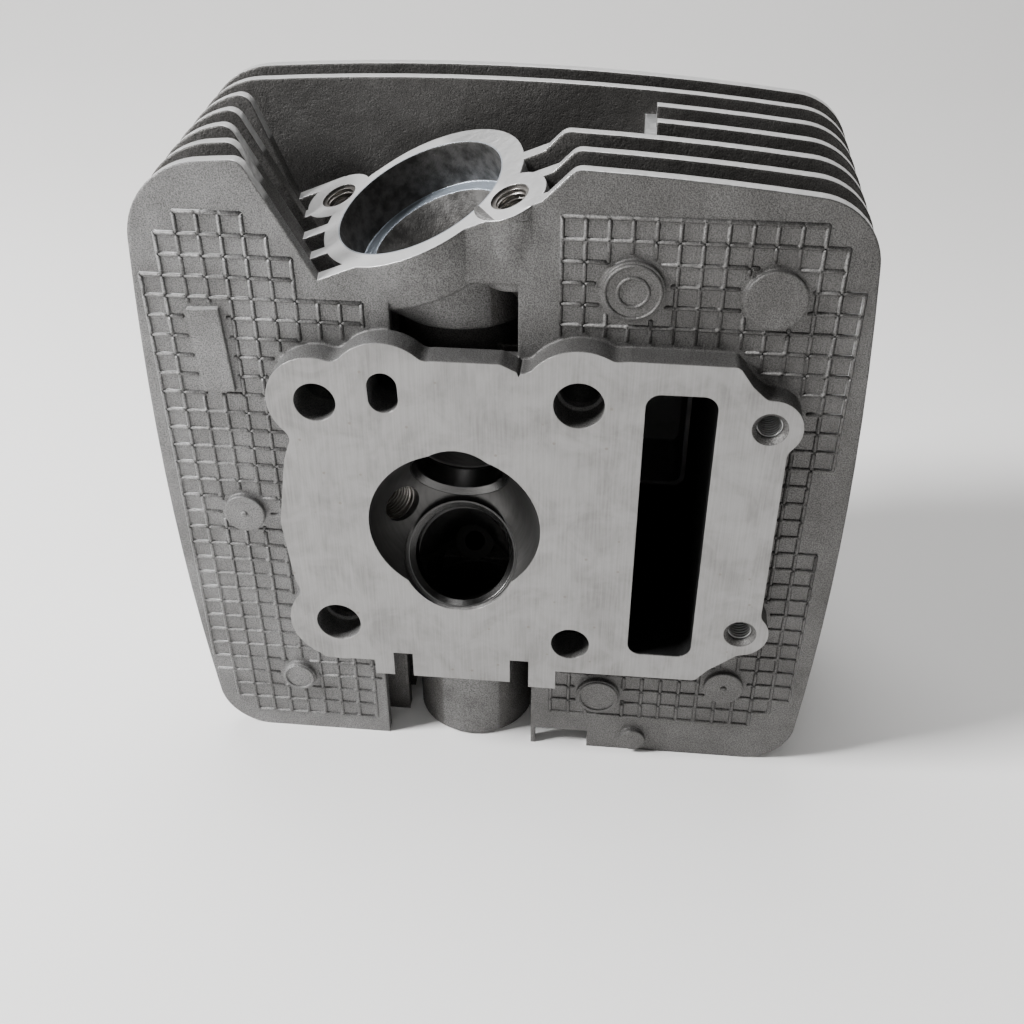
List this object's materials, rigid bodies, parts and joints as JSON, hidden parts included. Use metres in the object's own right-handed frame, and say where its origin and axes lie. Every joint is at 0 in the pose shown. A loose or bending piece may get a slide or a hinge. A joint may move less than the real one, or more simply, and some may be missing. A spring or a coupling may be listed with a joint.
{
  "type": "cylinder head",
  "caption": "Bare finned cylinder head for an air-cooled single: ports, valve seats and guides, chain tunnel, camshaft caps and a closed cam cover.",
  "frame": {"origin": "middle of the cylinder stud pattern, on the gasket face", "axes": "+X along the camshaft towards the timing chain, +Y from the gasket face into the head, +Z towards the exhaust side; it stands on its intake-side fin edges"},
  "size_m": [0.1701, 0.11, 0.1739],
  "materials": {
    "cast_alloy": "shot-blasted casting with machined faces",
    "cap_alloy": "machined casting",
    "cover_alloy": "shot-blasted die casting",
    "gasket_sheet": "pressed fibre sheet",
    "seat_steel": "ground sintered steel",
    "guide_iron": "turned cast iron",
    "spring_steel": "tempered steel, light oil",
    "seal_rubber": "moulded, matt",
    "stainless": "bright stainless",
    "zinc_steel": "zinc plated",
    "soft_aluminium": "soft, bright"
  },
  "bodies": {
    "root": {"head_casting": "cast_alloy", "intake_seat": "seat_steel", "exhaust_seat": "seat_steel", "intake_guide": "guide_iron", "exhaust_guide": "guide_iron", "intake_guide_clip": "spring_steel", "exhaust_guide_clip": "spring_steel", "intake_spring_seat": "spring_steel", "exhaust_spring_seat": "spring_steel", "intake_stem_seal": "seal_rubber", "exhaust_stem_seal": "seal_rubber", "exhaust_thread_inserts": "stainless", "plug_thread_insert": "stainless", "far_side_cam_cap": "cap_alloy", "chain_side_cam_cap": "cap_alloy", "cam_cap_bolts": "zinc_steel", "cam_cap_dowels": "stainless", "cover_dowels": "stainless", "cam_cover_gasket": "gasket_sheet", "cam_cover": "cover_alloy", "cam_cover_screws": "zinc_steel", "tappet_caps": "cover_alloy", "gallery_screw_plug": "zinc_steel", "gallery_plug_washer": "soft_aluminium", "gallery_ball_plug": "stainless"}
  },
  "joints": []
}
